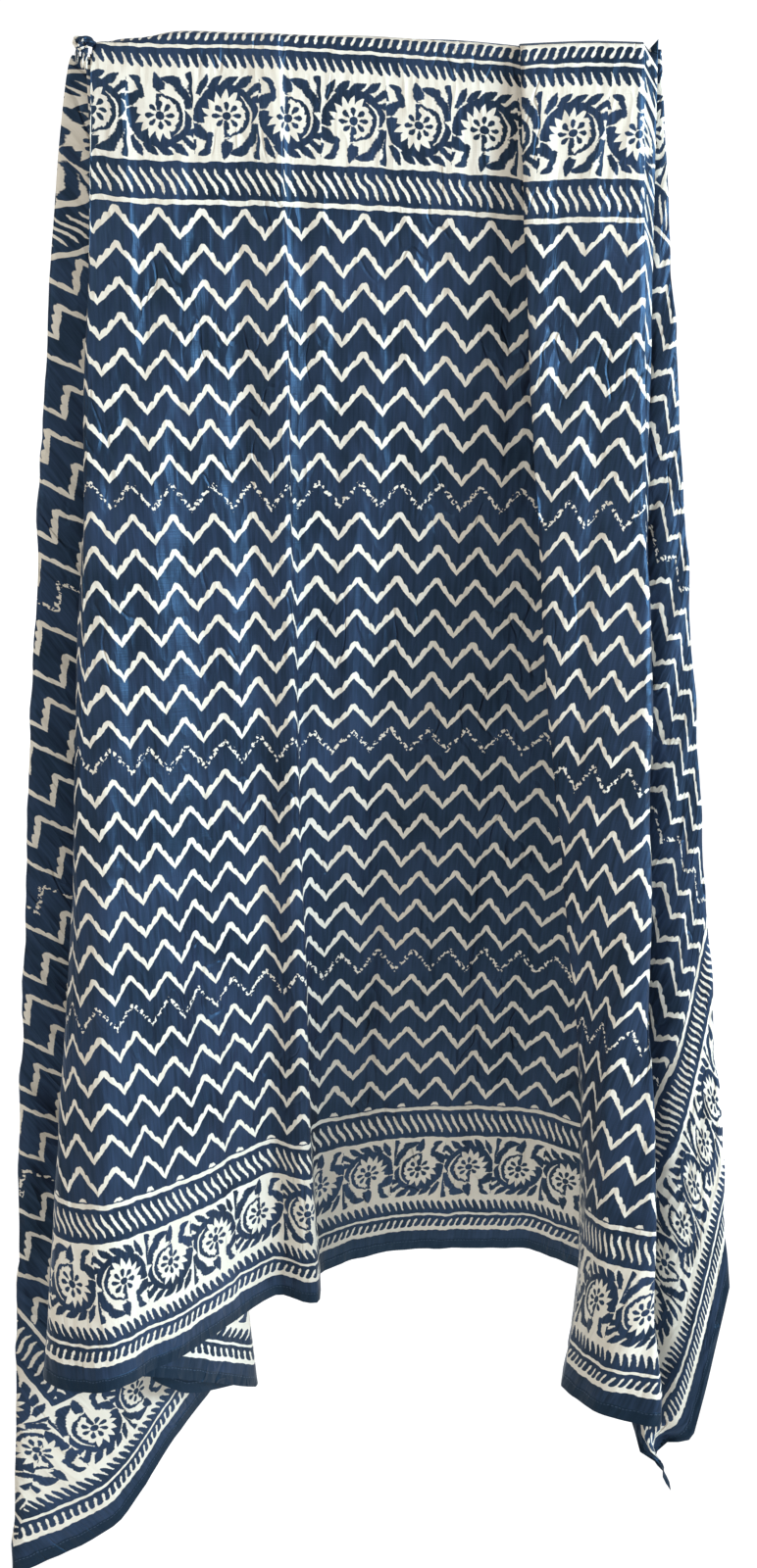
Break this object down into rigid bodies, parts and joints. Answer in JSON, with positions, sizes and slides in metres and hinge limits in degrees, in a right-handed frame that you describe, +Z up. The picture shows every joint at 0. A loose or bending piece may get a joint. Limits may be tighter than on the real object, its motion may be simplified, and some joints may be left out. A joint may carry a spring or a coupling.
{
  "type": "sarong",
  "caption": "Rectangular block-printed cotton sarong hanging from its pinched top corners, with a front panel, soft pleats and its free ends falling behind in folds",
  "frame": {"origin": "on the hung top edge of the front panel, midway between the pinched corners", "axes": "+X to the right along the top edge as seen from the front, +Y away from the viewer to the back of the drape, +Z up, so the cloth hangs towards -Z"},
  "size_m": [0.6803, 0.2934, 1.3848],
  "materials": {
    "printed_cotton": "matt indigo and cream printed cotton"
  },
  "bodies": {
    "root": {"sarong_cloth": "printed_cotton"}
  },
  "joints": []
}
